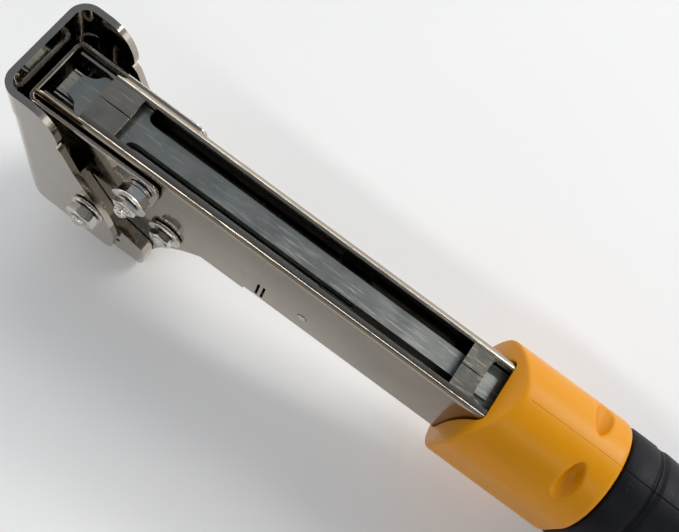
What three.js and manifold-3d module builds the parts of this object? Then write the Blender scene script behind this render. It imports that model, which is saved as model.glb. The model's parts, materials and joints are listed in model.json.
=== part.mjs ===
// Hammer tacker (staple gun), lying on its back with the staple side up.
// Millimetres. Tool frame: X runs from the head's front to the butt of the grip,
// Z = 0 is the magazine's underside, which faces +Z, and the tool is symmetric about Y = 0
// apart from the strap's stud. The last lines move it so that the origin is under the middle of
// the tool, on the surface that it lies on.
import * as THREE from 'three';
import { mergeVertices } from 'three/addons/utils/BufferGeometryUtils.js';
import Module from 'manifold-3d';

const wasm = await Module();
wasm.setup();

// ---- driving dimensions -------------------------------------------------
const TOOL_LENGTH = 343;
const GAP = 0.3;                    // clearance between touching pieces
const TOP_Z = -80.5;                // highest point of the head in use, lowest here

const BODY_HALF = 11;               // folded steel housing
const SHEET = 1.2;
const BODY_FRONT_X = 5.6;
const BODY_REAR_X = 196;
const BODY_TOP_Z = -40;
const HEAD_TOP_Z = -78;
const OPENING_HALF = 7.8;           // magazine opening between the flanges
const FRONT_TAB_X = [21.5, 33.3];
const REAR_TAB_X = [160.8, 168.7];

const FOOT_HALF = 19.8;             // U-shaped contact foot
const FOOT_SHEET = 2.3;
const FOOT_BOTTOM_Z = 9.3;
const FOOT_BOLT = { x: 31.2, z: -42 };
const LINK_PIN = { x: 16, z: -46 };  // joins the foot to the magazine
const LINK_SLOT_X = 16.9;           // the pin swings back a little as it rises
const LINK_SLOT_HALF = 4.2;

const STRAP_HALF = 13.3;            // U-shaped strap round the nose
const STRAP_FRONT_X = 3.6;
const STRAP_SHEET = 1.7;
const STRAP_STUD = { x: 48, z: -10 };

const WEIGHT_HALF = 16.2;           // head weight that straddles the housing
const FRAME_BOLT = { x: 57.3, z: -40 };
const HINGE = { x: 184, z: -14 };   // foot and magazine hinge
const TANG_PIN = { x: 191, z: -27 };
const FOOT_TRAVEL = 9;              // at the nose

const RAIL_HALF = 4.05;             // staples straddle this rail
const RAIL_FACE_Z = -4.1;
const STAPLE_HALF = 5.3;
const STAPLE_WIRE = 1.25;
const STAPLE_TIP_Z = -7.6;
const CROWN_Z = -17.6;              // outer face of the crown
const STRIP_X = [7.6, 111.5];
const CHANNEL_HALF = 9.4;
const CHANNEL_SHEET = 1;
const CHANNEL_FLOOR_Z = -20.5;
const CHANNEL_WALL_Z = -2.1;         // edges of its walls
const CHANNEL_END_X = 190;

const COLLAR_X = [170.4, 218];
const COLLAR_HALF = 20.8;
const COLLAR_HALF_HEIGHT = 27;
const GRIP_START_X = COLLAR_X[1] + GAP;
const AXIS_Z = -20;                 // centre line of the collar and grip
const TANG = { half: 9.3, narrow: 7, z: [-31, -23], narrowZ: [-29, -9], end: 336 };
const BLOCK_PINS_X = [20, 38];
const BLOCK_PIN_Z = -69;

// ---- materials ----------------------------------------------------------
function metal(color, roughness) {
  return new THREE.MeshStandardMaterial({ color, roughness, metalness: 1 });
}
const chrome = metal(0xc9c6bf, 0.15);
const steel = metal(0x9a9a96, 0.35);
const darkSteel = metal(0x55565a, 0.4);
const brass = metal(0xb9b4a4, 0.3);
const yellow = new THREE.MeshStandardMaterial({ color: 0xe6a014, roughness: 0.4 });
const black = new THREE.MeshStandardMaterial({ color: 0x1b1c20, roughness: 0.6 });

// ---- solids -------------------------------------------------------------
function solidOf(geometry) {
  geometry.deleteAttribute('normal');
  geometry.deleteAttribute('uv');
  const merged = mergeVertices(geometry, 1e-4);
  return new wasm.Manifold(new wasm.Mesh({
    numProp: 3,
    vertProperties: new Float32Array(merged.attributes.position.array),
    triVerts: new Uint32Array(merged.index.array),
  }));
}

function geometryOf(solid) {
  const mesh = solid.getMesh();
  const geometry = new THREE.BufferGeometry();
  geometry.setAttribute('position', new THREE.BufferAttribute(mesh.vertProperties, 3));
  geometry.setIndex(new THREE.BufferAttribute(mesh.triVerts, 1));
  geometry.computeVertexNormals();
  return geometry;
}

function extrude(shape, depth, segments) {
  return new THREE.ExtrudeGeometry(shape, {
    depth, bevelEnabled: false, curveSegments: segments,
  });
}

// A side outline (x, z), swept across Y.
function sideways(shape, y0, y1, segments = 6) {
  const geometry = extrude(shape, y1 - y0, segments);
  return solidOf(geometry.rotateX(Math.PI / 2).translate(0, y1, 0));
}

// A cross-section (y, z), swept along X.
function lengthways(shape, x0, x1, segments = 4) {
  const turn = new THREE.Matrix4().makeBasis(
    new THREE.Vector3(0, 1, 0), new THREE.Vector3(0, 0, 1), new THREE.Vector3(1, 0, 0));
  return solidOf(extrude(shape, x1 - x0, segments).applyMatrix4(turn).translate(x0, 0, 0));
}

// A plan outline (x, y), swept up Z.
function upright(shape, z0, z1, segments = 6) {
  return solidOf(extrude(shape, z1 - z0, segments).translate(0, 0, z0));
}

function box(x, y, z) {
  const geometry = new THREE.BoxGeometry(x[1] - x[0], y[1] - y[0], z[1] - z[0]);
  geometry.translate((x[0] + x[1]) / 2, (y[0] + y[1]) / 2, (z[0] + z[1]) / 2);
  return solidOf(geometry);
}

// A round or hexagonal rod across the tool, from y0 to y1.
function rod(x, z, radius, y0, y1, sides = 20, turn = 0) {
  const geometry = new THREE.CylinderGeometry(radius, radius, y1 - y0, sides);
  return solidOf(geometry.rotateY(turn).translate(x, (y0 + y1) / 2, z));
}

function ring(x, z, outer, inner, y0, y1, sides = 20) {
  return rod(x, z, outer, y0, y1, sides).subtract(rod(x, z, inner, y0 - 1, y1 + 1, 20));
}

function nut(x, z, flats, bore, y0, y1, turn = 0) {
  const corner = flats / Math.sqrt(3);
  return rod(x, z, corner, y0, y1, 6, turn).subtract(rod(x, z, bore, y0 - 1, y1 + 1, 20));
}

function mirrorY(solid) {
  return solid.mirror([0, 1, 0]);
}

function bothSides(solid) {
  return solid.add(mirrorY(solid));
}

function roundedRect(x0, x1, y0, y1, radius) {
  const shape = new THREE.Shape();
  shape.moveTo(x0 + radius, y0);
  shape.lineTo(x1 - radius, y0);
  shape.absarc(x1 - radius, y0 + radius, radius, -Math.PI / 2, 0);
  shape.lineTo(x1, y1 - radius);
  shape.absarc(x1 - radius, y1 - radius, radius, 0, Math.PI / 2);
  shape.lineTo(x0 + radius, y1);
  shape.absarc(x0 + radius, y1 - radius, radius, Math.PI / 2, Math.PI);
  shape.lineTo(x0, y0 + radius);
  shape.absarc(x0 + radius, y0 + radius, radius, Math.PI, 1.5 * Math.PI);
  return shape;
}

function stadium(x, halfWidth, z0, z1) {
  return roundedRect(x - halfWidth, x + halfWidth, z0, z1, halfWidth - 0.01);
}

const tool = new THREE.Group();

function place(name, solid, material) {
  const mesh = new THREE.Mesh(geometryOf(solid), material);
  mesh.name = name;
  tool.add(mesh);
}

// The same piece on both flanks: left is the -Y side, which the given solid is on.
function placePair(name, solid, material) {
  place(name + '_left', solid, material);
  place(name + '_right', mirrorY(solid), material);
}

// ---- housing: one folded sheet, tall at the head ------------------------
function headOutline(inset) {
  const shape = new THREE.Shape();
  const top = HEAD_TOP_Z + inset;
  const front = BODY_FRONT_X - inset * 2;
  shape.moveTo(front, -inset);
  shape.lineTo(front, -70);
  shape.quadraticCurveTo(front, top, front + 8, top);
  shape.lineTo(50 - inset, top);
  shape.quadraticCurveTo(54 - inset, -56 + inset, 72, BODY_TOP_Z + inset);
  shape.lineTo(90, BODY_TOP_Z + inset);
  shape.lineTo(90, -inset);
  return shape;
}

function housingBlock(inset, front, rear) {
  const half = BODY_HALF - inset;
  const radius = 2.6 - inset;
  const tall = roundedRect(-half, half, HEAD_TOP_Z + inset, -inset, radius);
  const low = roundedRect(-half, half, BODY_TOP_Z + inset, -inset, radius);
  const head = sideways(headOutline(inset), -half, half, 8).intersect(lengthways(tall, front, 90));
  return head.add(lengthways(low, 60, rear));
}

// The foot's link pin rises along this slot as the foot swings in.
function linkSlot() {
  const farEnd = LINK_PIN.z - FOOT_TRAVEL - LINK_SLOT_HALF;
  const nearEnd = LINK_PIN.z + LINK_SLOT_HALF;
  return sideways(stadium(LINK_SLOT_X, LINK_SLOT_HALF, farEnd, nearEnd), -20, 20);
}

function housing() {
  const rearOpening = [REAR_TAB_X[1], BODY_REAR_X + 1];
  const seamHalf = 0.2;
  const wide = BODY_HALF - SHEET;
  const cuts = [
    housingBlock(SHEET, BODY_FRONT_X - 2, BODY_REAR_X + 1),
    box([0, FRONT_TAB_X[0]], [-wide, wide], [-3, 1]),
    box([FRONT_TAB_X[0] - 1, REAR_TAB_X[1] + 1], [-seamHalf, seamHalf], [-2, 1]),
    box([FRONT_TAB_X[1], REAR_TAB_X[0]], [-OPENING_HALF, OPENING_HALF], [-2, 1]),
    upright(roundedRect(rearOpening[0], rearOpening[1], -OPENING_HALF, OPENING_HALF, 3), -2, 1),
  ];
  const through = [
    linkSlot(),
    rod(STRAP_STUD.x, STRAP_STUD.z, 2.3, 0, 20),
    ...[94.9, 97.1].map((x) => sideways(stadium(x, 0.5, -36, -25), -20, 20, 3)),
    rod(FRAME_BOLT.x, FRAME_BOLT.z, 3.3, -20, 20),
    rod(112.7, -26.5, 1.8, -20, 20),
    rod(HINGE.x, HINGE.z, 2.3, -20, 20),
    rod(TANG_PIN.x, TANG_PIN.z, 2.3, -20, 20),
    ...BLOCK_PINS_X.map((x) => rod(x, BLOCK_PIN_Z, 2.8, -20, 20)),
  ];
  let shell = housingBlock(0, BODY_FRONT_X, BODY_REAR_X);
  for (const cut of [...cuts, ...through]) shell = shell.subtract(cut);
  return shell;
}
place('housing', housing(), chrome);

// ---- nose strap and its studs -------------------------------------------
function uPlan(front, rear, half, sheet, radius) {
  const outer = roundedRect(front, rear + radius, -half, half, radius);
  const inner = roundedRect(front + sheet, rear + 40, -half + sheet, half - sheet,
    Math.max(radius - sheet, 0.4));
  return upright(outer, TOP_Z - 10, 20).subtract(upright(inner, TOP_Z - 11, 21));
}

function strapOutline() {
  const shape = new THREE.Shape();
  shape.moveTo(0, -3.5);
  shape.lineTo(51, -3.5);
  shape.quadraticCurveTo(54.5, -3.5, 54.2, -9);
  shape.quadraticCurveTo(54, -20, 48, -28.5);
  shape.lineTo(27.5, -28.5);
  shape.lineTo(26, -30.5);
  shape.lineTo(0, -30.5);
  return shape;
}

function noseStrap() {
  const plan = uPlan(STRAP_FRONT_X, 60, STRAP_HALF, STRAP_SHEET, 3);
  return plan.intersect(sideways(strapOutline(), -20, 20))
    .subtract(rod(STRAP_STUD.x, STRAP_STUD.z, 2.3, 0, 20));
}
place('nose_strap', noseStrap(), chrome);

// The near flank has the stud with its nuts, and the far flank a low rivet.
const studStart = -STRAP_HALF - GAP;
const stud = rod(STRAP_STUD.x, STRAP_STUD.z, 2.5, -24.6, studStart, 16)
  .add(rod(STRAP_STUD.x, STRAP_STUD.z, 4.3, studStart - 1, studStart, 16));
place('strap_stud', stud, steel);
place('strap_nut', nut(STRAP_STUD.x, STRAP_STUD.z, 9, 2.8, -18.5, -14.9, 0.3), steel);
place('strap_washer', ring(STRAP_STUD.x, STRAP_STUD.z, 6.4, 2.8, -19.6, -18.8), steel);
place('strap_lock_nut', nut(STRAP_STUD.x, STRAP_STUD.z, 7.6, 2.8, -22.2, -19.9, 0.1), steel);
const strapRivet = rod(STRAP_STUD.x, STRAP_STUD.z, 2, BODY_HALF - 1, STRAP_HALF + 1, 16)
  .add(rod(STRAP_STUD.x, STRAP_STUD.z, 3.8, STRAP_HALF + GAP, STRAP_HALF + 1.5, 20));
place('strap_rivet', strapRivet, steel);

// ---- head: weight, impact block, driver blade ---------------------------
function weightOutline() {
  const shape = new THREE.Shape();
  shape.moveTo(8.5, -40);
  shape.lineTo(23.5, -33);
  shape.lineTo(35.5, -54.5);
  shape.lineTo(49, -61);
  shape.quadraticCurveTo(52, -62, 52, -66);
  shape.lineTo(51.2, -76);
  shape.quadraticCurveTo(50, TOP_Z, 45, TOP_Z);
  shape.lineTo(22, TOP_Z);
  shape.quadraticCurveTo(11, -79.5, 8.5, -66);
  return shape;
}

function headWeight() {
  const inside = BODY_HALF + GAP;
  const section = roundedRect(-WEIGHT_HALF, WEIGHT_HALF, TOP_Z, -20, 2);
  const pinHoles = BLOCK_PINS_X.map((x) => rod(x, BLOCK_PIN_Z, 2.8, -20, 20));
  return sideways(weightOutline(), -WEIGHT_HALF, WEIGHT_HALF, 5)
    .intersect(lengthways(section, 0, 60))
    .subtract(box([0, 70], [-inside, inside], [HEAD_TOP_Z - GAP, 0]))
    .subtract(linkSlot())
    .subtract(pinHoles[0].add(pinHoles[1]));
}
place('head_weight', headWeight(), chrome);

const bladeX = [BODY_FRONT_X + GAP, BODY_FRONT_X + GAP + 1.3];
const blockZ = [-73, -63];
function impactBlock() {
  const half = BODY_HALF - SHEET - GAP - 1.5;
  const pinHoles = BLOCK_PINS_X.map((x) => rod(x, BLOCK_PIN_Z, 2.8, -20, 20));
  return box([bladeX[1] + GAP, 44], [-half, half], blockZ)
    .subtract(pinHoles[0].add(pinHoles[1]));
}
place('impact_block', impactBlock(), darkSteel);

// The blade hooks over the block, under the roof of the head.
const bladeHook = [blockZ[0] - GAP - 1.3, blockZ[0] - GAP];
const blade = box(bladeX, [-5.2, 5.2], [bladeHook[0], CROWN_Z - 1.2])
  .add(box([bladeX[0], 17], [-5.2, 5.2], bladeHook));
place('driver_blade', blade, steel);

BLOCK_PINS_X.forEach((x, i) => {
  place('block_pin_' + ['front', 'rear'][i], rod(x, BLOCK_PIN_Z, 2.5, -15.9, 15.9, 16), steel);
});

// ---- bolts --------------------------------------------------------------
place('frame_bolt', rod(FRAME_BOLT.x, FRAME_BOLT.z, 3, -16.3, 16.3, 16), steel);
placePair('frame_nut', nut(FRAME_BOLT.x, FRAME_BOLT.z, 7.6, 3.3, -15.4, -12.9, 0.2), steel);
placePair('frame_washer', ring(FRAME_BOLT.x, FRAME_BOLT.z, 6.6, 3.3, -12.6, -11.3), steel);
place('housing_rivet', rod(112.7, -26.5, 1.5, -11.6, 11.6, 12), steel);
place('hinge_pin', rod(HINGE.x, HINGE.z, 2, -10.9, 10.9, 16), steel);
place('tang_pin', rod(TANG_PIN.x, TANG_PIN.z, 2, -10.9, 10.9, 16), steel);

// ---- foot: guard shell, its studs and link pin --------------------------
function footOutline() {
  const shape = new THREE.Shape();
  shape.moveTo(-1, FOOT_BOTTOM_Z);
  shape.lineTo(11.5, FOOT_BOTTOM_Z);
  shape.quadraticCurveTo(17, 8.8, 19.6, 3.6);
  shape.quadraticCurveTo(22.6, -3, 20.4, -7.2);
  shape.lineTo(22.4, -9.2);
  shape.lineTo(26, -20);
  shape.lineTo(35, -37);
  shape.quadraticCurveTo(40, -47, 41, -58);
  shape.lineTo(40, -68);
  shape.quadraticCurveTo(39, -72, 35, -72);
  shape.lineTo(18, -70);
  shape.lineTo(9.4, -69);
  shape.quadraticCurveTo(4.4, -68, 3, -61);
  shape.lineTo(-1, -58);
  return shape;
}

// The pin's ends sit in blind holes of the foot's cheeks.
const LINK_PIN_HALF = FOOT_HALF - 1;

function footShell() {
  const shoeStep = 1.1;
  const lowFace = uPlan(0, 60, FOOT_HALF, FOOT_SHEET, 6.5)
    .intersect(box([-1, 60], [-30, 30], [-5, 20]));
  const highFace = uPlan(0, 60, FOOT_HALF, FOOT_SHEET, 7.5)
    .subtract(box([-5, shoeStep], [-30, 30], [-100, -5]))
    .intersect(box([-1, 60], [-30, 30], [-100, -4.9]));
  return lowFace.add(highFace)
    .intersect(sideways(footOutline(), -30, 30, 7))
    .subtract(rod(FOOT_BOLT.x, FOOT_BOLT.z, 3.3, -30, 30))
    .subtract(rod(LINK_PIN.x, LINK_PIN.z, 3.3, -LINK_PIN_HALF - GAP, LINK_PIN_HALF + GAP));
}
place('foot_shell', footShell(), chrome);

place('foot_link_pin', rod(LINK_PIN.x, LINK_PIN.z, 3, -LINK_PIN_HALF, LINK_PIN_HALF, 16), steel);

// Each stud's flat head lies between the foot's cheek and the head weight.
const cheekInside = -FOOT_HALF + FOOT_SHEET + GAP;
const footStud = rod(FOOT_BOLT.x, FOOT_BOLT.z, 3, -27, cheekInside + 0.7, 16)
  .add(rod(FOOT_BOLT.x, FOOT_BOLT.z, 4.8, cheekInside, cheekInside + 0.7, 20));
placePair('foot_stud', footStud, steel);
placePair('foot_nut', nut(FOOT_BOLT.x, FOOT_BOLT.z, 9.6, 3.3, -25.6, -21.7, 0.2), steel);
placePair('foot_washer', ring(FOOT_BOLT.x, FOOT_BOLT.z, 6.4, 3.3, -21.4, -20.1), steel);

// ---- magazine: channel, rail, end block, pusher, staples ----------------
function magazineChannel() {
  const inner = CHANNEL_HALF - CHANNEL_SHEET;
  const front = bladeX[1] + GAP;
  const floor = [CHANNEL_FLOOR_Z, CHANNEL_FLOOR_Z + CHANNEL_SHEET];
  const base = box([front, CHANNEL_END_X], [-CHANNEL_HALF, CHANNEL_HALF], floor);
  const wall = box([front, CHANNEL_END_X], [inner, CHANNEL_HALF], [floor[0], CHANNEL_WALL_Z]);
  const earZ = [LINK_PIN.z - 4.6, floor[0]];
  const earX = [LINK_PIN.x - 6, LINK_PIN.x + 6];
  const ear = box(earX, [6.2, 7.4], earZ);
  return base.add(bothSides(wall)).add(bothSides(ear))
    .subtract(rod(LINK_PIN.x, LINK_PIN.z, 3.3, -20, 20))
    .subtract(rod(HINGE.x, HINGE.z, 2.3, -20, 20));
}
place('magazine_channel', magazineChannel(), steel);

function railFace() {
  const shape = new THREE.Shape();
  const wide = OPENING_HALF + 0.3;
  shape.moveTo(12, -RAIL_HALF);
  shape.lineTo(12, RAIL_HALF);
  shape.quadraticCurveTo(15.5, 4.2, 16.8, 6.4);
  shape.quadraticCurveTo(17.6, wide, 20, wide);
  shape.lineTo(36.5, wide);
  shape.lineTo(36.5, 6.6);
  shape.quadraticCurveTo(36.7, RAIL_HALF, 40.5, RAIL_HALF);
  shape.lineTo(174, RAIL_HALF);
  shape.lineTo(174, -RAIL_HALF);
  shape.lineTo(40.5, -RAIL_HALF);
  shape.quadraticCurveTo(36.7, -RAIL_HALF, 36.5, -6.6);
  shape.lineTo(36.5, -wide);
  shape.lineTo(20, -wide);
  shape.quadraticCurveTo(17.6, -wide, 16.8, -6.4);
  shape.quadraticCurveTo(15.5, -4.2, 12, -RAIL_HALF);
  return shape;
}

function magazineRail() {
  const face = upright(railFace(), RAIL_FACE_Z - SHEET, RAIL_FACE_Z, 6);
  const crownUnder = CROWN_Z + STAPLE_WIRE + GAP;
  const core = box([bladeX[1] + 0.5, 166], [-RAIL_HALF, RAIL_HALF],
    [crownUnder, RAIL_FACE_Z - SHEET + 0.1]);
  const hollow = box([20, 170], [-2.9, 2.9], [crownUnder - 1, RAIL_FACE_Z - SHEET - 1]);
  const coreCut = box([0, 12.5], [-10, 10], [RAIL_FACE_Z - 3, 1]);
  return face.add(core.subtract(hollow).subtract(coreCut));
}
place('magazine_rail', magazineRail(), steel);

const endBlock = box([168, CHANNEL_END_X - 0.5], [-8, 8], [CHANNEL_FLOOR_Z + 1.3, -5.7])
  .subtract(rod(HINGE.x, HINGE.z, 2.3, -20, 20));
place('magazine_end_block', endBlock, darkSteel);

const PUSHER_X = [112, 124];
function pusher() {
  const under = CROWN_Z + STAPLE_WIRE;
  const crown = box(PUSHER_X, [-STAPLE_HALF, STAPLE_HALF], [CROWN_Z, under]);
  const leg = box(PUSHER_X, [RAIL_HALF + GAP, STAPLE_HALF], [CROWN_Z, STAPLE_TIP_Z]);
  const tongue = box([PUSHER_X[0] + 4, PUSHER_X[0] + 6.5], [-2.4, 2.4], [CROWN_Z, -8]);
  return crown.add(bothSides(leg)).add(tongue);
}
place('pusher', pusher(), darkSteel);

function helix(turns, radius, wire, length, steps, sides) {
  const points = [];
  for (let i = 0; i <= turns * steps; i += 1) {
    const angle = (i / steps) * 2 * Math.PI;
    const along = (i / (turns * steps)) * length;
    points.push(new THREE.Vector3(radius * Math.cos(angle), radius * Math.sin(angle), along));
  }
  const path = new THREE.CatmullRomCurve3(points);
  const section = new THREE.Shape();
  section.absarc(0, 0, wire / 2, 0, 2 * Math.PI);
  return new THREE.ExtrudeGeometry(section, {
    steps: turns * steps, extrudePath: path, curveSegments: sides / 2,
  });
}

const springStart = PUSHER_X[0] + 6.5 + GAP;
const springLength = 167.7 - springStart;
const pusherSpring = helix(14, 1.9, 0.7, springLength - 0.8, 8, 6)
  .rotateY(Math.PI / 2).translate(springStart + 0.4, 0, -11.6);
place('pusher_spring', solidOf(pusherSpring), steel);

const strip = box(STRIP_X, [-STAPLE_HALF, STAPLE_HALF], [CROWN_Z, STAPLE_TIP_Z])
  .subtract(box([0, 200], [-RAIL_HALF - 0.15, RAIL_HALF + 0.15],
    [CROWN_Z + STAPLE_WIRE, 0]));
place('staple_strip', strip, brass);

const returnLength = CHANNEL_FLOOR_Z - blockZ[1];
const returnSpring = helix(9, 4.4, 1.3, returnLength - 2, 10, 6)
  .rotateX(Math.PI).translate(32, 0, CHANNEL_FLOOR_Z - 1);
place('return_spring', solidOf(returnSpring), steel);

// ---- handle: tang, collar, grip -----------------------------------------
function tangSolid(clearance, x0, narrowX0, x1) {
  const half = TANG.half + clearance;
  const narrow = TANG.narrow + clearance;
  const wide = roundedRect(-half, half, TANG.z[0] - clearance, TANG.z[1] + clearance, 2);
  const rib = roundedRect(-narrow, narrow,
    TANG.narrowZ[0] - clearance, TANG.narrowZ[1] + clearance, 2);
  return lengthways(wide, x0, x1).add(lengthways(rib, narrowX0, x1));
}
const tang = tangSolid(0, 187, 199, TANG.end)
  .subtract(rod(TANG_PIN.x, TANG_PIN.z, 2.3, -20, 20))
  .subtract(lengthways(disc(2.3), TANG.end - 20, TANG.end + 1));
place('handle_tang', tang, darkSteel);

function disc(radius) {
  const shape = new THREE.Shape();
  shape.absarc(0, AXIS_Z, radius, 0, 2 * Math.PI);
  return shape;
}

// A sleeve along X with round sides and a straight stretch between them, from rings of
// [x, half width, half height].
function sleeve(rings, sides) {
  const ends = [[rings[0][0], 0, 0], [rings[rings.length - 1][0], 0, 0]];
  const all = [ends[0], ...rings, ends[1]];
  const profile = all.map(([x, half]) => new THREE.Vector2(half, x));
  const geometry = new THREE.LatheGeometry(profile, sides, Math.PI / sides);
  geometry.rotateZ(-Math.PI / 2);
  const position = geometry.attributes.position;
  for (let i = 0; i < position.count; i += 1) {
    const [, half, height] = all[i % all.length];
    const z = position.getZ(i);
    position.setZ(i, z + Math.sign(z) * (height - half));
  }
  return solidOf(geometry.translate(0, 0, AXIS_Z));
}

// The front face leans back in a curve up to its crest, as seen from the side.
function collarNose() {
  const shape = new THREE.Shape();
  shape.moveTo(COLLAR_X[0] - 5, -24);
  shape.lineTo(COLLAR_X[0], -24);
  shape.quadraticCurveTo(171, 0.6, 181.5, 7.4);
  shape.lineTo(181.5, 12);
  shape.lineTo(COLLAR_X[0] - 5, 12);
  return shape;
}

function collar() {
  const [front, rear] = COLLAR_X;
  const [half, height] = [COLLAR_HALF, COLLAR_HALF_HEIGHT];
  const bodyPocket = roundedRect(-BODY_HALF - GAP, BODY_HALF + GAP, BODY_TOP_Z - GAP, GAP, 2.6);
  const rings = [
    [front, half - 1.2, height - 1.2], [front + 1.2, half, height],
    [rear - 2, half, height], [rear, half - 1.4, height - 1.4],
  ];
  return sleeve(rings, 36)
    .subtract(sideways(collarNose(), -30, 30, 10))
    .subtract(lengthways(bodyPocket, 160, BODY_REAR_X + GAP))
    .subtract(tangSolid(GAP, 186, 198, 220));
}
place('collar', collar(), yellow);

const GRIP_RINGS = [
  [GRIP_START_X, 19.8, 26], [GRIP_START_X + 1, 20.4, 26.7], [228.6, 20.3, 26.5], [229, 19.6, 25.8],
  [230.8, 19.6, 25.8], [231.2, 20.3, 26.5], [243, 19.7, 25.5], [255, 17.8, 22.4],
  [270, 16.5, 19.4], [285, 16.1, 18.4], [305, 16.4, 18.6], [330, 17.4, 19.6],
];
place('grip_sleeve', sleeve(GRIP_RINGS, 32).subtract(tangSolid(GAP, 200, 200, 340)), black);

const CAP_RINGS = [
  [330 + GAP, 17.4, 19.6], [332, 17.9, 20.1], [338, 17.6, 19.8], [341.5, 16, 18.2],
  [TOOL_LENGTH, 13, 15],
];
const gripEndCap = sleeve(CAP_RINGS, 32)
  .subtract(tangSolid(GAP, 320, 320, TANG.end + GAP))
  .subtract(lengthways(disc(2.8), 330, 350))
  .subtract(lengthways(disc(4.8), TOOL_LENGTH - 2.5, 350));
place('grip_end_cap', gripEndCap, black);

const endScrew = lengthways(disc(2), TANG.end - 19, TOOL_LENGTH - 1)
  .add(lengthways(disc(4.4), TOOL_LENGTH - 2.2, TOOL_LENGTH - 0.3))
  .subtract(box([TOOL_LENGTH - 1.2, 350], [-0.6, 0.6], [AXIS_Z - 6, AXIS_Z + 6]));
place('end_screw', endScrew, steel);

tool.position.set(-TOOL_LENGTH / 2, 0, -TOP_Z);
const object = new THREE.Group();
object.add(tool);
export default object;
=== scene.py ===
"""Looks of the hammer tacker. Sizes inside the tool are in millimetres, in the tool's own
directions: X runs from the front of the foot to the butt, Y from the near flank to the far one,
and Z = 0 is the magazine's underside, which faces up."""
import json
import math

import bmesh
import bpy
from mathutils import Matrix, Vector


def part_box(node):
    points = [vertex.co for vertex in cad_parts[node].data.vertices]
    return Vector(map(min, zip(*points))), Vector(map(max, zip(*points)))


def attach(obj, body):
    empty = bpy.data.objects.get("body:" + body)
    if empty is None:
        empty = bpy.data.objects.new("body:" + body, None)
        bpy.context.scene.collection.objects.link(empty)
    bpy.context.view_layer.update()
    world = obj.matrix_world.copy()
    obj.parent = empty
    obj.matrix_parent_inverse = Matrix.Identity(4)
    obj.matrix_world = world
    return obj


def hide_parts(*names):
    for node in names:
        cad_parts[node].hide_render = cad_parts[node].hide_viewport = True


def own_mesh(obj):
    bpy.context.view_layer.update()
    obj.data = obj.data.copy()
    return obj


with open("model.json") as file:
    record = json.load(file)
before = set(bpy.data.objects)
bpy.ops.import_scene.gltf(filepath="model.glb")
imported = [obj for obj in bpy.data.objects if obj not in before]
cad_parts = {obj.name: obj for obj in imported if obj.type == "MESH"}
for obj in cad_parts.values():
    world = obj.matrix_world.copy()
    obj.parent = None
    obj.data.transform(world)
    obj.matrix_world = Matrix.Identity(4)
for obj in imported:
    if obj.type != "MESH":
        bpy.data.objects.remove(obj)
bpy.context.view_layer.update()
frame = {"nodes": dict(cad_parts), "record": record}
MM = 0.001
TAU = 2 * math.pi


def tool_origin():
    """The front of the foot, on the centre plane, level with the magazine's underside."""
    return Vector((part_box("foot_shell")[0].x, 0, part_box("housing")[1].z))


ORIGIN = tool_origin()


def at(x, y, z):
    """A point given in millimetres in the tool's directions, in the frame."""
    return ORIGIN + Vector((x, y, z)) * MM


def span(node):
    """A node's lowest and highest corner in millimetres, in the tool's directions."""
    low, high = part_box(node)
    return (low - ORIGIN) / MM, (high - ORIGIN) / MM


# ---- materials ----------------------------------------------------------
NOISE_ROUGHNESS = 0.55
SCRATCH_STRETCH = (0.22, 3.2, 3.2)
TAB_HALF_WIDTH = 7.8
TAB_FACE_Z = -0.5
FRONT_TAB_X = (21.5, 33.3)
REAR_TAB_X = (160.8, 168.7)


def set_stops(ramp, stops):
    """Fills a Color Ramp node. stops are (position, colour) or (position, grey)."""
    elements = ramp.color_ramp.elements
    while len(elements) < len(stops):
        elements.new(0.5)
    for element, (position, colour) in zip(elements, stops):
        element.position = position
        grey = isinstance(colour, (int, float))
        element.color = (colour, colour, colour, 1) if grey else (*colour, 1)


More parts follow.
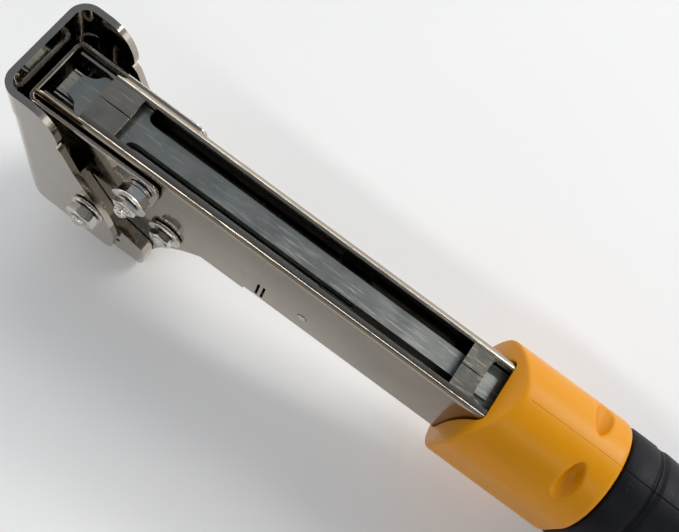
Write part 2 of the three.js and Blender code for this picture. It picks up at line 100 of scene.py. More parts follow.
class Nodes:
    """A material's node tree, with short ways to add and join nodes."""

    def __init__(self, name):
        self.material = bpy.data.materials.new(name)
        self.material.use_nodes = True
        self.tree = self.material.node_tree
        self.shader = self.tree.nodes["Principled BSDF"]
        self.coordinates = self.add("ShaderNodeTexCoord").outputs["Object"]

    def add(self, kind, **values):
        node = self.tree.nodes.new(kind)
        for key, value in values.items():
            setattr(node, key, value)
        return node

    def join(self, source, target):
        self.tree.links.new(source, target)

    def set(self, **values):
        for key, value in values.items():
            self.shader.inputs[key.replace("_", " ")].default_value = value

    def noise(self, scale, stretch=(1, 1, 1), turn=0.0, detail=4.0):
        mapping = self.add("ShaderNodeMapping")
        mapping.inputs["Scale"].default_value = stretch
        mapping.inputs["Rotation"].default_value = (turn * 0.6, turn * 0.3, turn)
        self.join(self.coordinates, mapping.inputs["Vector"])
        noise = self.add("ShaderNodeTexNoise")
        noise.inputs["Scale"].default_value = scale
        noise.inputs["Detail"].default_value = detail
        noise.inputs["Roughness"].default_value = NOISE_ROUGHNESS
        self.join(mapping.outputs["Vector"], noise.inputs["Vector"])
        return noise.outputs["Fac"]

    def ramp(self, value, stops):
        ramp = self.add("ShaderNodeValToRGB")
        set_stops(ramp, stops)
        self.join(value, ramp.inputs["Fac"])
        return ramp.outputs["Color"]

    def add_values(self, first, second, operation="ADD"):
        node = self.add("ShaderNodeMath", operation=operation)
        self.join(first, node.inputs[0])
        if isinstance(second, float):
            node.inputs[1].default_value = second
        else:
            self.join(second, node.inputs[1])
        return node.outputs["Value"]

    def inside(self, value, low, high):
        """1 where value is between low and high, 0 elsewhere."""
        above = self.add_values(value, low, "GREATER_THAN")
        below = self.add_values(value, high, "LESS_THAN")
        return self.add_values(above, below, "MULTIPLY")

    def painted_tab_sheen(self):
        """1 on the outer face of the two cross tabs, 0 elsewhere, patchy in between: where a
        painted sheen goes.
        """
        split = self.add("ShaderNodeSeparateXYZ")
        self.join(self.coordinates, split.inputs["Vector"])
        x, y, z = split.outputs
        front, rear = [self.inside(x, *[at(edge, 0, 0).x for edge in edges])
                       for edges in (FRONT_TAB_X, REAR_TAB_X)]
        across_tab = self.inside(y, at(0, -TAB_HALF_WIDTH, 0).y, at(0, TAB_HALF_WIDTH, 0).y)
        outer = self.add_values(z, at(0, 0, TAB_FACE_Z).z, "GREATER_THAN")
        where = self.add_values(self.add_values(front, rear), across_tab, "MULTIPLY")
        where = self.add_values(where, outer, "MULTIPLY")
        patches = self.ramp(self.noise(160, detail=5.0), [(0.34, 0.45), (0.6, 1.0)])
        return self.add_values(where, patches, "MULTIPLY")

    def bump(self, height, strength, distance):
        bump = self.add("ShaderNodeBump")
        bump.inputs["Strength"].default_value = strength
        bump.inputs["Distance"].default_value = distance
        self.join(height, bump.inputs["Height"])
        self.join(bump.outputs["Normal"], self.shader.inputs["Normal"])

    def scratches(self, turns):
        """Thin straight marks in several directions, bright on black."""
        total = None
        for turn in turns:
            fine = self.noise(420, SCRATCH_STRETCH, turn, detail=2.0)
            marks = self.ramp(fine, [(0.60, 0.0), (0.68, 1.0)])
            total = marks if total is None else self.add_values(total, marks)
        return total


def steel(name, colour, roughness, spread=0.08, marks=(0.5, -0.9), bump=0.12, tabs=False):
    """Metal with cloudy changes of gloss, a faint mottled tint and fine scratches. With tabs, the
    cross tabs of the magazine's opening get a painted sheen: duller and paler, in patches."""
    nodes = Nodes(name)
    nodes.set(Metallic=1.0)
    dark = [channel * 0.86 for channel in colour]
    cloud = nodes.noise(38, detail=5.0)
    tint = nodes.ramp(cloud, [(0.35, tuple(dark)), (0.62, tuple(colour))])
    marks_height = nodes.scratches(marks)
    gloss = nodes.ramp(nodes.noise(90, detail=6.0), [(0.3, roughness), (0.72, roughness + spread)])
    wear_and_tab_sheen = nodes.add_values(gloss, nodes.add_values(marks_height, 0.10, "MULTIPLY"))
    # Painted sheen: the tabs' outer face is made paler and rougher so that it looks lit as by
    # reflected light.
    if tabs:
        tab_sheen = nodes.painted_tab_sheen()
        mix = nodes.add("ShaderNodeMix", data_type="RGBA")
        nodes.join(tab_sheen, mix.inputs["Factor"])
        nodes.join(tint, mix.inputs[6])
        mix.inputs[7].default_value = (*[min(1.0, channel * 1.3) for channel in colour], 1)
        tint = mix.outputs[2]
        wear_and_tab_sheen = nodes.add_values(wear_and_tab_sheen, nodes.add_values(tab_sheen, 0.07, "MULTIPLY"))
    nodes.join(tint, nodes.shader.inputs["Base Color"])
    nodes.join(wear_and_tab_sheen, nodes.shader.inputs["Roughness"])
    nodes.bump(marks_height, bump, 0.00004)
    return nodes.material


def yellow_plastic():
    nodes = Nodes("yellow_plastic")
    nodes.set(Subsurface_Weight=0.06, Subsurface_Scale=0.003, Specular_IOR_Level=0.2)
    cloud = nodes.noise(30, detail=3.0)
    nodes.join(nodes.ramp(cloud, [(0.3, (0.61, 0.235, 0.0015)), (0.7, (0.66, 0.265, 0.0025))]),
               nodes.shader.inputs["Base Color"])
    grain = nodes.noise(900, detail=3.0)
    nodes.join(nodes.ramp(grain, [(0.3, 0.30), (0.7, 0.40)]), nodes.shader.inputs["Roughness"])
    nodes.bump(grain, 0.08, 0.0001)
    return nodes.material


def black_rubber():
    nodes = Nodes("black_rubber")
    nodes.set(Specular_IOR_Level=0.15)
    cloud = nodes.noise(40, detail=4.0)
    nodes.join(nodes.ramp(cloud, [(0.3, (0.003, 0.0035, 0.005)), (0.7, (0.007, 0.0075, 0.010))]),
               nodes.shader.inputs["Base Color"])
    grain = nodes.noise(1400, detail=3.0)
    nodes.join(nodes.ramp(grain, [(0.3, 0.42), (0.7, 0.58)]), nodes.shader.inputs["Roughness"])
    nodes.bump(grain, 0.25, 0.00015)
    return nodes.material


# The warm tan of the chrome colours is a painted reflection of a tan surface below the tool.
CHROME = steel("chrome", (0.46, 0.415, 0.355), 0.07, 0.06, bump=0.05)
# The housing's chrome is a darker, browner copy: painted shade and painted tan reflection on its
# walls.
CHROME_BODY_PAINTED_SHADE = steel("chrome_body_painted_shade", (0.345, 0.303, 0.245), 0.08, 0.07, (0.4, -0.7, 1.2), 0.06,
                    tabs=True)
RAIL = steel("rail_steel", (0.345, 0.35, 0.32), 0.24, 0.12, (0.3, -0.6, 1.3), 0.12)
ZINC = steel("zinc", (0.66, 0.63, 0.58), 0.12, 0.08, bump=0.05)
DARK_STEEL = steel("dark_steel", (0.16, 0.16, 0.17), 0.34, 0.12)
SPRING = steel("spring_steel", (0.36, 0.36, 0.37), 0.22, 0.10)
WIRE = steel("staple_wire", (0.62, 0.61, 0.57), 0.20, 0.12)
YELLOW = yellow_plastic()
BLACK = black_rubber()


# ---- CAD nodes that stay ------------------------------------------------
def paint(obj, material):
    obj.data.materials.clear()
    obj.data.materials.append(material)


def polish(node, material, edge, segments=3):
    """Keeps a CAD node, with rounded edges of the given radius in millimetres. This also edits
    the node's own mesh: its imported custom normals are removed, and its smooth flags and
    material index are set."""
    obj = frame["nodes"][node]
    paint(obj, material)
    normals = obj.data.attributes.get("custom_normal")
    if normals:
        obj.data.attributes.remove(normals)
    for polygon in obj.data.polygons:
        polygon.use_smooth = True
        polygon.material_index = 0
    weld = obj.modifiers.new("weld", "WELD")
    weld.merge_threshold = 2e-6
    flat = obj.modifiers.new("flat", "DECIMATE")
    flat.decimate_type = "DISSOLVE"
    flat.angle_limit = math.radians(1.5)
    round_off = obj.modifiers.new("round", "BEVEL")
    round_off.width = edge * MM
    round_off.segments = segments
    round_off.limit_method = "ANGLE"
    round_off.angle_limit = math.radians(34)
    round_off.use_clamp_overlap = True
    round_off.miter_outer = "MITER_ARC"
    even = obj.modifiers.new("even", "WEIGHTED_NORMAL")
    even.keep_sharp = True
    even.weight = 60


def polish_frame():
    polish("foot_shell", CHROME, 0.7, 4)
    polish("nose_strap", CHROME, 0.6, 4)
    polish("housing", CHROME_BODY_PAINTED_SHADE, 0.5)
    polish("head_weight", CHROME, 1.2, 4)
    polish("magazine_channel", CHROME, 0.3)
    polish("magazine_rail", RAIL, 0.55)
    polish("magazine_end_block", RAIL, 0.4)
    polish("driver_blade", DARK_STEEL, 0.15)
    polish("impact_block", DARK_STEEL, 0.6)
    polish("pusher", DARK_STEEL, 0.15)
    polish("handle_tang", DARK_STEEL, 0.6)


# ---- new pieces ---------------------------------------------------------
BODIES = frame["record"]["behaviour"]["bodies"]


def place(mesh):
    """Takes a mesh from the tool's millimetres to the frame, and shades it smooth."""
    mesh.transform(Matrix.Translation(ORIGIN) @ Matrix.Scale(MM, 4))
    mesh.polygons.foreach_set("use_smooth", [True] * len(mesh.polygons))


def settle(obj, node):
    """Makes obj stand for a CAD node and ride on that node's body."""
    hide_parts(node)
    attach(obj, next(b for b, nodes in BODIES.items() if node in nodes))


def piece(name, mesh_builder, material, node, smooth_angle=35):
    """An object made by mesh_builder(bm), in millimetres in the tool's directions, that stands for
    node."""
    bm = bmesh.new()
    mesh_builder(bm)
    bmesh.ops.remove_doubles(bm, verts=bm.verts, dist=0.0005)
    bmesh.ops.recalc_face_normals(bm, faces=bm.faces)
    mesh = bpy.data.meshes.new(name)
    bm.to_mesh(mesh)
    bm.free()
    place(mesh)
    mesh.set_sharp_from_angle(angle=math.radians(smooth_angle))
    obj = bpy.data.objects.new(name, mesh)
    bpy.context.scene.collection.objects.link(obj)
    obj.data.materials.append(material)
    settle(obj, node)
    return obj


def join_rings(bm, rings, closed_loop=False):
    """Quads between rings of vertices with equal counts. An open row of rings is capped."""
    count = len(rings[0])
    pairs = list(zip(rings, rings[1:]))
    if closed_loop:
        pairs.append((rings[-1], rings[0]))
    for a, b in pairs:
        for i in range(count):
            j = (i + 1) % count
            bm.faces.new((a[i], a[j], b[j], b[i]))
    if not closed_loop:
        bm.faces.new(rings[0])
        bm.faces.new(list(reversed(rings[-1])))


def across(x, z, y, radius, angle):
    """A point on a circle round an axis along Y."""
    return (x + radius * math.cos(angle), y, z + radius * math.sin(angle))


def ring_across(bm, centre, y, radius_of, sides):
    """Vertices of a ring round an axis along Y. radius_of gives the radius at an angle."""
    angles = [TAU * k / sides for k in range(sides)]
    return [bm.verts.new(across(centre.x, centre.z, y, radius_of(a), a)) for a in angles]


def hex_radius(flats, angle):
    """How far a hexagon's side is from its middle at an angle, where flats is its width."""
    sixth = TAU / 6
    return flats / 2 / math.cos((angle + sixth / 2) % sixth - sixth / 2)


def nut_rings(x, z, y0, y1, flats, bore, turn):
    """Rings of a nut along Y, with both faces chamfered down to the flats."""
    angles = [TAU * i / 72 for i in range(72)]
    lip = 0.4
    crown = flats / 2 * 0.96
    slope = math.tan(math.radians(30))

    def ring(y, radius_of):
        return [across(x, z, y, radius_of(a), a + turn) for a in angles]

    def rim(y, sign):
        points = []
        for a in angles:
            radius = hex_radius(flats, a)
            points.append(across(x, z, y + sign * (radius - crown) * slope, radius, a + turn))
        return points

    return [
        ring(y0 + lip, lambda a: bore), ring(y1 - lip, lambda a: bore),
        ring(y1, lambda a: bore + lip), ring(y1, lambda a: crown), rim(y1, -1),
        rim(y0, 1), ring(y0, lambda a: crown), ring(y0, lambda a: bore + lip),
    ]


def make_nut(name, bore, turn=0.2):
    """A hexagon nut along Y in its CAD node's place, turned by an angle so that few look alike."""
    low, high = span(name)
    centre = (low + high) / 2
    flats = min(high.x - low.x, high.z - low.z) * 0.94

    def build(bm):
        rings = nut_rings(centre.x, centre.z, low.y, high.y, flats, bore, turn)
        join_rings(bm, [[bm.verts.new(p) for p in ring] for ring in rings], closed_loop=True)

    piece(name + "_detail", build, ZINC, name, 25)


def make_washer(name, bore):
    """A washer along Y with soft edges, in its CAD node's place."""
    low, high = span(name)
    centre = (low + high) / 2
    outer = (high.x - low.x) / 2
    soft = min(0.25, (high.y - low.y) / 3)
    profile = [
        (bore, low.y + soft), (bore, high.y - soft), (bore + soft, high.y),
        (outer - soft, high.y), (outer - soft * 0.3, high.y - soft * 0.3), (outer, high.y - soft),
        (outer, low.y + soft), (outer - soft * 0.3, low.y + soft * 0.3), (outer - soft, low.y),
        (bore + soft, low.y),
    ]

    def build(bm):
        rings = [ring_across(bm, centre, y, lambda a: radius, 64) for radius, y in profile]
        join_rings(bm, rings, closed_loop=True)

    piece(name + "_detail", build, ZINC, name)


def make_threaded_rod(name, radius, pitch=1.0, depth=0.38, head=None):
    """A rod along Y with a helical thread and rounded ends. head is the thickness and radius of a
    flat head at the end that is nearer the middle of the tool."""
    low, high = span(name)
    centre = (low + high) / 2
    sides, steps = 28, 8
    length = high.y - low.y
    count = round(length / pitch * steps)

    def surface(y, angle):
        inner_end = high.y - y if centre.y < 0 else y - low.y
        if head and inner_end <= head[0]:
            return head[1]
        phase = (y / pitch + angle / TAU) % 1
        crest = abs(phase * 2 - 1)
        end = min(y - low.y, high.y - y)
        taper = max(0.0, 1 - end / 1.4) ** 2 * radius * 0.45
        return radius - depth * crest - taper

    def build(bm):
        stops = [low.y + length * i / count for i in range(count + 1)]
        join_rings(bm, [ring_across(bm, centre, y, lambda a: surface(y, a), sides)
                        for y in stops])

    piece(name + "_detail", build, ZINC, name, 60)


def make_fasteners():
    make_threaded_rod("strap_stud", 2.5, 0.8, 0.3, head=(1.0, 4.3))
    make_nut("strap_nut", 2.6, turn=0.3)
    make_washer("strap_washer", 2.7)
    make_nut("strap_lock_nut", 2.6, turn=0.1)
    make_threaded_rod("frame_bolt", 3.0)
    for side in ("left", "right"):
        make_nut("frame_nut_" + side, 3.1)
        make_washer("frame_washer_" + side, 3.2)
        make_threaded_rod("foot_stud_" + side, 3.0, head=(0.7, 4.8))
        make_nut("foot_nut_" + side, 3.1)
        make_washer("foot_washer_" + side, 3.2)


PIN_DOME = 0.5


def make_pin(name):
    """A plain round pin along Y with low domed ends."""
    low, high = span(name)
    centre = (low + high) / 2
    radius = (high.x - low.x) / 2

    def build(bm):
        rings = []
        for y, sign in ((low.y, 1), (high.y, -1)):
            stops = [(math.cos(t), 1 - math.sin(t)) for t in (1.25, 0.9, 0.5, 0.0)]
            if sign < 0:
                stops = list(reversed(stops))
            for share, drop in stops:
                rings.append(ring_across(bm, centre, y + sign * drop * PIN_DOME,
                                         lambda a: radius * share, 32))
        join_rings(bm, rings)

    piece(name + "_detail", build, ZINC, name)


def make_pins():
    for name in ("housing_rivet", "hinge_pin", "tang_pin", "foot_link_pin", "block_pin_front",
                 "block_pin_rear"):
        make_pin(name)
    polish("strap_rivet", ZINC, 0.5, 4)


# ---- staples, springs ---------------------------------------------------
def make_staples():
    """The loaded strip as separate staples, glued side by side."""
    low, high = span("staple_strip")
    pitch = 1.28
    half, leg, soft, gap = high.y, 0.95, 0.1, 0.06
    crown = low.z + 1.25
    count = int((high.x - low.x) / pitch)
    outline = [
        (-half, high.z), (-half, low.z + 0.6), (-half + 0.6, low.z), (half - 0.6, low.z),
        (half, low.z + 0.6), (half, high.z), (half - leg * 0.5, high.z),
        (half - leg, high.z - 0.5), (half - leg, crown), (-half + leg, crown),
        (-half + leg, high.z - 0.5), (-half + leg * 0.5, high.z),
    ]

    def inset(point, amount):
        """Draws a point of the outline in towards the middle, for a soft edge."""
        y, z = point
        return (y + amount * (-1 if y > 0 else 1) * 0.8, z)

    def build(bm):
        for i in range(count):
            x0 = low.x + i * pitch
            x1 = x0 + pitch - gap
            rings = []
            for x, amount in ((x0, soft), (x0 + soft, 0), (x1 - soft, 0), (x1, soft)):
                rings.append([bm.verts.new((x, *inset(p, amount))) for p in outline])
            join_rings(bm, rings)

    piece("staples", build, WIRE, "staple_strip", 30)


DEAD_TURNS = 0.9


def make_coil(name, turns, along, wire):
    """A compression spring with closed ends, filling its CAD node's box along the named axis."""
    low, high = span(name)
    centre = (low + high) / 2
    axis = "xyz".index(along)
    other = (axis + 1) % 3
    radius = (high[other] - low[other]) / 2 - wire / 2
    length = high[axis] - low[axis] - wire
    steps, sides = 28, 10
    total = turns * steps

    def centre_line(i):
        turn = i / steps
        share = (turn - DEAD_TURNS) / (turns - 2 * DEAD_TURNS)
        closed = wire * 1.02
        if share <= 0:
            reach = turn * closed
        elif share >= 1:
            reach = length - (turns - turn) * closed
        else:
            reach = DEAD_TURNS * closed + share * (length - 2 * DEAD_TURNS * closed)
        angle = TAU * turn
        spot = [0.0, 0.0, 0.0]
        spot[axis] = low[axis] + wire / 2 + reach
        spot[other] = centre[other] + radius * math.cos(angle)
        spot[(axis + 2) % 3] = centre[(axis + 2) % 3] + radius * math.sin(angle)
        return Vector(spot)

    def build(bm):
        rings = []
        heading = Vector([1.0 if k == axis else 0.0 for k in range(3)])
        middle = Vector(centre)
        for i in range(total + 1):
            point = centre_line(i)
            outward = point - middle
            outward[axis] = 0
            outward.normalize()
            ring = []
            for k in range(sides):
                a = TAU * k / sides
                offset = outward * math.cos(a) + heading * math.sin(a)
                ring.append(bm.verts.new(point + offset * wire / 2))
            rings.append(ring)
        join_rings(bm, rings)

    return piece(name + "_coil", build, SPRING, name, 60)


def make_springs():
    coil = make_coil("return_spring", 9, "z", 1.3)
    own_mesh(coil)
    coil = make_coil("pusher_spring", 14, "x", 0.7)
    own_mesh(coil)


# ---- collar and grip ----------------------------------------------------
COLLAR_HALF, COLLAR_HEIGHT = 20.7, 27.0
DIMPLE_X = 206.8
PARTING_Y = 0.9
GROOVES_END_X = 232.5
GRIP_ARC, GRIP_ARC_RISE = 20.2, 6.2
MARK_X = 222.0
RIBS_X, RIB_COUNT, RIB_DEPTH = (256, 322), 11, 0.35


def oval_ring(x, half, height, centre_z, sides=96):
    """A ring round X: two half circles, with a straight stretch between them."""
    points = []
    for k in range(sides):
        a = TAU * (k + 0.5) / sides
        y, z = half * math.cos(a), half * math.sin(a)
        points.append((x, y, centre_z + z + math.copysign(height - half, z)))
    return points


def sleeve_mesh(bm, stations, centre_z, sides=96):
    rings = [[bm.verts.new(p) for p in oval_ring(x, half, height, centre_z, sides)]
             for x, half, height in stations]
    join_rings(bm, rings)


def raw_object(name, build):
    """A helper object for cutting, in millimetres in the tool's directions."""
    bm = bmesh.new()
    build(bm)
    bmesh.ops.recalc_face_normals(bm, faces=bm.faces)
    mesh = bpy.data.meshes.new(name)
    bm.to_mesh(mesh)
    bm.free()
    obj = bpy.data.objects.new(name, mesh)
    bpy.context.scene.collection.objects.link(obj)
    return obj


def apply_modifiers(obj):
    """Puts the result of a helper's modifiers into its mesh. CAD nodes never come here."""
    evaluated = obj.evaluated_get(bpy.context.evaluated_depsgraph_get())
    mesh = bpy.data.meshes.new_from_object(evaluated)
    obj.modifiers.clear()
    obj.data = mesh


def cut(obj, cutter):
    """Cuts one helper object out of another, and removes the cutter."""
    boolean = obj.modifiers.new("cut", "BOOLEAN")
    boolean.operation = "DIFFERENCE"
    boolean.solver = "EXACT"
    boolean.object = cutter
    bpy.context.view_layer.update()
    apply_modifiers(obj)
    bpy.data.objects.remove(cutter)


def soften(obj, voxel, rounds):
    """Remeshes evenly and relaxes, which rounds every edge as a moulding has it."""
    remesh = obj.modifiers.new("even", "REMESH")
    remesh.mode = "VOXEL"
    remesh.voxel_size = voxel
    relax = obj.modifiers.new("relax", "SMOOTH")
    relax.iterations = rounds
    relax.factor = 0.5
    bpy.context.view_layer.update()
    apply_modifiers(obj)


def prism(bm, outline, y0, y1):
    """An outline in X and Z, extruded along Y."""
    rings = [[bm.verts.new((x, y, z)) for x, z in outline] for y in (y0, y1)]
    join_rings(bm, rings)


def block(bm, low, high):
    prism(bm, [(low[0], low[2]), (high[0], low[2]), (high[0], high[2]), (low[0], high[2])],
          low[1], high[1])


def channel_ring(x, half, z0, z1, radius, steps=6):
    """A rounded rectangle round X."""
    corners = [(half - radius, z1 - radius, 0), (-half + radius, z1 - radius, 1),
               (-half + radius, z0 + radius, 2), (half - radius, z0 + radius, 3)]
    points = []
    for y, z, quarter in corners:
        for k in range(steps + 1):
            a = (quarter + k / steps) * TAU / 4
            points.append((x, y + radius * math.cos(a), z + radius * math.sin(a)))
    return points


def dimple(bm, side, arc):
    """The cutter of a teardrop hollow in the collar's shoulder, sharp and deep towards the middle
    and fading outwards. arc is the radius of the collar's round side and its centre's height."""
    stations = [(5.0, 0.2, 0.3), (5.5, 0.9, 2.4), (6.5, 1.7, 4.0), (8.0, 2.4, 4.6),
                (10.0, 3.0, 4.3), (12.5, 3.3, 3.5), (14.5, 3.2, 2.4), (16.0, 2.5, 1.2),
                (17.0, 1.0, 0.3)]
    rings = []
    for reach, width, depth in stations:
        surface = arc[1] + math.sqrt(arc[0] ** 2 - reach ** 2)
        rings.append([bm.verts.new((DIMPLE_X + width * math.cos(TAU * k / 28), side * reach,
                                    surface + depth * math.sin(TAU * k / 28))) for k in range(28)])
    join_rings(bm, rings)


def parting_line(obj, y, start_x, depth=0.22, half=0.16):
    """Presses the fine groove of the mould's parting line along the top."""
    bm = bmesh.new()
    bm.from_mesh(obj.data)
    top = max(v.co.z for v in bm.verts)
    for line in (y - half, y, y + half):
        near = [f for f in bm.faces if abs(f.calc_center_median().y - y) < 3
                and f.calc_center_median().z > top - 6 and f.calc_center_median().x > start_x]
        around = {e for f in near for e in f.edges} | {v for f in near for v in f.verts}
        bmesh.ops.bisect_plane(bm, geom=near + list(around), plane_co=(0, line, 0),
                               plane_no=(0, 1, 0))
    for v in bm.verts:
        if abs(v.co.y - y) < 1e-4 and v.co.z > top - 6 and v.co.x > start_x + 0.6:
            v.co.z -= depth
    bm.to_mesh(obj.data)
    bm.free()


def finish_moulding(obj, name, material, node):
    """Turns a raw object into the finished piece that stands for node."""
    obj.name = name
    place(obj.data)
    paint(obj, material)
    settle(obj, node)


def nose_curve(start, bend, end, count=24):
    """A quadratic curve through XZ points, from start to end."""
    points = []
    for i in range(count + 1):
        t = i / count
        a, b, c = (1 - t) ** 2, 2 * t * (1 - t), t * t
        points.append((a * start[0] + b * bend[0] + c * end[0],
                       a * start[1] + b * bend[1] + c * end[1]))
    return points


def make_collar():
    """The yellow moulding: an oval sleeve with a curved nose, room for the body and the tang, two
    hollows in its shoulders and a parting line."""
    low, high = span("collar")
    centre_z = low.z + COLLAR_HEIGHT
    half, height = COLLAR_HALF, COLLAR_HEIGHT
    front, rear = low.x, high.x
    stations = [(front, half - 1.2, height - 1.2), (front + 0.4, half - 0.4, height - 0.4),
                (front + 1.2, half, height), (rear - 1.8, half, height),
                (rear - 0.5, half - 0.5, height - 0.5), (rear, half - 1.6, height - 1.6)]
    collar = raw_object("collar_raw", lambda bm: sleeve_mesh(bm, stations, centre_z))
    body_high = span("housing")[1]
    body_half = body_high.y + 0.3
    ramp = [(front - 4, -24), *nose_curve((front, -24), (front + 0.7, 0.6), (front + 11.1, 7.4)),
            (front + 11.1, 12), (front - 4, 12)]
    cut(collar, raw_object("ramp", lambda bm: prism(bm, ramp, -30, 30)))

    def pocket(bm):
        join_rings(bm, [[bm.verts.new(p) for p in channel_ring(x, body_half, -40.3, 0.3, 2.6)]
                        for x in (front - 5, body_high.x + 0.3)])

    cut(collar, raw_object("pocket", pocket))
    tang_low, tang_high = span("handle_tang")

    def tang_slot(bm):
        block(bm, (front + 18, -9.6, tang_low.z - 0.3), (rear + 5, 9.6, -22.7))

    def rib_slot(bm):
        block(bm, (front + 20, -7.3, -29.3), (rear + 5, 7.3, tang_high.z + 0.3))

    cut(collar, raw_object("tang_slot", tang_slot))
    cut(collar, raw_object("rib_slot", rib_slot))
    arc = (half, centre_z + height - half)
    for side in (-1, 1):
        cut(collar, raw_object("hollow", lambda bm: dimple(bm, side, arc)))
    soften(collar, 0.45, 6)
    parting_line(collar, PARTING_Y, front + 12)
    finish_moulding(collar, "collar_moulding", YELLOW, "collar")


def make_grip():
    """The black sleeve, with two grooves behind the collar and shallow ribs along the palm."""
    low, high = span("grip_sleeve")
    centre_z = (low.z + high.z) / 2
    start = low.x
    stations = [
        (start, 18.8, 25.0), (start + 0.5, 19.7, 25.9), (start + 1.4, 20.3, 26.5),
        (227.9, 20.2, 26.4), (228.5, 20.0, 26.2), (228.9, 19.3, 25.5), (229.3, 19.2, 25.4),
        (229.7, 19.3, 25.5), (230.0, 19.8, 26.0), (230.4, 19.8, 26.0), (230.7, 19.3, 25.5),
        (231.1, 19.2, 25.4), (231.5, 19.4, 25.6), (231.9, 20.0, 26.2), (GROOVES_END_X, 20.15, 26.3),
    ]
    for i in range(1, 60):
        x = GROOVES_END_X + i * (high.x - 0.6 - GROOVES_END_X) / 60
        stations.append((x, *grip_profile(x)))
    stations.append((high.x - 0.2, 17.2, 19.4))
    stations.append((high.x, 16.6, 18.8))
    grip = raw_object("grip_raw", lambda bm: sleeve_mesh(bm, stations, centre_z, 128))
    parting_line(grip, PARTING_Y, start, 0.3, 0.2)
    finish_moulding(grip, "grip_rubber", BLACK, "grip_sleeve")
    grip.data.set_sharp_from_angle(angle=math.radians(50))
    for y in (5.8, -2.9):
        make_moulding_mark(f"grip_mark_{'far' if y > 0 else 'near'}", MARK_X, y, centre_z)


def make_moulding_mark(name, x, y, centre_z):
    """A low round mark that an ejector pin leaves on the grip."""
    z = centre_z + GRIP_ARC_RISE + math.sqrt(GRIP_ARC ** 2 - y ** 2)
    normal = Vector((0, y, z - centre_z - GRIP_ARC_RISE)).normalized()
    along = Vector((1, 0, 0))
    side = normal.cross(along)
    profile = [(1.25, -0.3), (1.2, 0.08), (1.05, 0.13), (0.9, 0.08), (0.75, 0.02), (0.3, 0.02)]

    def build(bm):
        rings = []
        for radius, rise in profile:
            middle = Vector((x, y, z)) + normal * rise
            angles = [TAU * k / 32 for k in range(32)]
            rings.append([bm.verts.new(middle + along * radius * math.cos(a)
                                       + side * radius * math.sin(a)) for a in angles])
        join_rings(bm, rings)

    mark = raw_object(name + "_raw", build)
    mark.name = name
    place(mark.data)
    paint(mark, BLACK)
    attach(mark, "housing")


def grip_profile(x):
    """Half width and half height of the grip, with rings of shallow ribs along the palm."""
    knots = [(231, 20.2, 26.4), (243, 19.7, 25.5), (255, 17.8, 22.4), (270, 16.5, 19.4),
             (285, 16.1, 18.4), (305, 16.4, 18.6), (331, 17.4, 19.6)]
    for (x0, w0, h0), (x1, w1, h1) in zip(knots, knots[1:]):
        if x <= x1:
            t = (x - x0) / (x1 - x0)
            t = t * t * (3 - 2 * t)
            rib = 0.0
            first, last = RIBS_X
            if first < x < last:
                phase = (x - first) / (last - first) * RIB_COUNT
                rib = RIB_DEPTH * (1 - math.cos(phase * TAU)) / 2
            return w0 + (w1 - w0) * t - rib, h0 + (h1 - h0) * t - rib
    return knots[-1][1:]


def make_end_cap():
    """The guessed cap at the butt, and its screw."""
    low, high = span("grip_end_cap")
    centre_z = (low.z + high.z) / 2
    start, end = low.x, high.x
    stations = [(start, 16.8, 19.0), (start + 0.4, 17.3, 19.5), (start + 1.6, 17.8, 20.0),
                (start + 4.0, 17.9, 20.1), (start + 7.7, 17.6, 19.8), (end - 3.0, 16.9, 19.1),
                (end - 1.4, 15.6, 17.8), (end - 0.5, 14.2, 16.4), (end, 12.6, 14.8),
                (end, 6.0, 8.2), (end - 0.4, 5.2, 7.4)]
    piece("end_cap_rubber", lambda bm: sleeve_mesh(bm, stations, centre_z), BLACK,
          "grip_end_cap", 50)
    polish("end_screw", ZINC, 0.2)


# ---- surroundings -------------------------------------------------------
def make_floor():
    """A pale floor that the head and the butt both rest on, so it leans along X in this frame."""
    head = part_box("head_weight")
    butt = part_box("grip_end_cap")
    contact = Vector((head[1].x - 7 * MM, 0, head[0].z))
    far = Vector((butt[0].x + 5 * MM, 0, butt[0].z))
    slope = math.atan2(far.z - contact.z, far.x - contact.x)
    mesh = bpy.data.meshes.new("floor")
    reach = 6.0
    corners = [(-reach, -reach, 0), (reach, -reach, 0), (reach, reach, 0), (-reach, reach, 0)]
    mesh.from_pydata(corners, [], [(0, 1, 2, 3)])
    floor = bpy.data.objects.new("floor", mesh)
    floor.location = contact - Vector((0, 0, 0.3 * MM))
    floor.rotation_euler = (0, -slope, 0)
    bpy.context.scene.collection.objects.link(floor)
    nodes = Nodes("floor_paper")
    cloud = nodes.noise(3.0)
    nodes.join(nodes.ramp(cloud, [(0.3, (0.86, 0.855, 0.845)), (0.7, (0.89, 0.885, 0.875))]),
               nodes.shader.inputs["Base Color"])
    nodes.set(Roughness=0.9)
    floor.data.materials.append(nodes.material)


def area_light(name, place, target, size, power, colour=(1, 1, 1)):
    data = bpy.data.lights.new(name, "AREA")
    data.shape = "RECTANGLE"
    data.size, data.size_y = size
    data.energy = power
    data.color = colour
    light = bpy.data.objects.new(name, data)
    light.location = place
    light.rotation_mode = "QUATERNION"
    light.rotation_quaternion = (Vector(target) - Vector(place)).to_track_quat("-Z", "Y")
    bpy.context.scene.collection.objects.link(light)


SKY_BY_HEIGHT = [
    (0.0, (0.75, 0.73, 0.70)), (0.10, (1.0, 1.0, 1.0)), (0.42, (1.0, 1.0, 1.0)),
    (0.56, (0.34, 0.36, 0.39)), (0.80, (0.16, 0.18, 0.21)), (1.0, (0.15, 0.17, 0.20)),
]
NEAR_TO_FAR = {"From Min": -0.8, "From Max": 0.4, "To Min": 0.40, "To Max": 1.6}


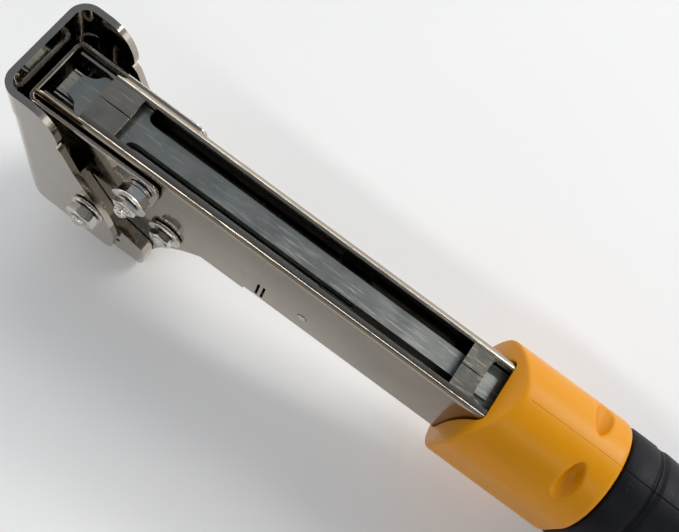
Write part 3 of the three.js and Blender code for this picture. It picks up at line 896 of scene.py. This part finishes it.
def make_world():
    """A white studio, darker overhead and dimmer on the near flank, the same for every ray."""
    world = bpy.data.worlds.new("studio")
    world.use_nodes = True
    tree = world.node_tree
    direction = tree.nodes.new("ShaderNodeTexCoord").outputs["Generated"]
    split = tree.nodes.new("ShaderNodeSeparateXYZ")
    tree.links.new(direction, split.inputs["Vector"])
    side = tree.nodes.new("ShaderNodeMapRange")
    tree.links.new(split.outputs["Y"], side.inputs["Value"])
    for name, value in NEAR_TO_FAR.items():
        side.inputs[name].default_value = value
    sky = tree.nodes["Background"]
    ramp = tree.nodes.new("ShaderNodeValToRGB")
    set_stops(ramp, SKY_BY_HEIGHT)
    tree.links.new(split.outputs["Z"], ramp.inputs["Fac"])
    tree.links.new(ramp.outputs["Color"], sky.inputs["Color"])
    tree.links.new(side.outputs["Result"], sky.inputs["Strength"])
    bpy.context.scene.world = world


def make_lights():
    make_world()
    area_light("key", (1.3, 2.0, 2.4), (0, 0, 0.03), (1.3, 1.3), 48, (1.0, 0.98, 0.95))
    area_light("near_strip", (0.0, -0.68, 1.02), (0, 0, 0.05), (2.0, 0.10), 3.8)
    area_light("far_strip", (0.1, 0.95, 0.86), (0, 0, 0.05), (2.0, 0.14), 4.8)


def make_camera():
    """Above the staple side, a little to the near flank, turned so that the tool runs down to the
    right."""
    right = Vector((0.8050, 0.5574, 0.2012))
    up = Vector((-0.5931, 0.7519, 0.2879))
    back = right.cross(up)
    data = bpy.data.cameras.new("camera")
    data.sensor_width = 36
    data.lens = 49.39
    data.clip_start, data.clip_end = 0.01, 20
    camera = bpy.data.objects.new("camera", data)
    turn = Matrix((right, up, back)).transposed().to_4x4()
    camera.matrix_world = Matrix.Translation(at(115.4, -99.46, 269.53)) @ turn
    bpy.context.scene.collection.objects.link(camera)
    bpy.context.scene.camera = camera


bpy.context.scene.view_settings.view_transform = "Standard"
polish_frame()
make_fasteners()
make_pins()
make_staples()
make_springs()
make_collar()
make_grip()
make_end_cap()
make_floor()
make_lights()
make_camera()
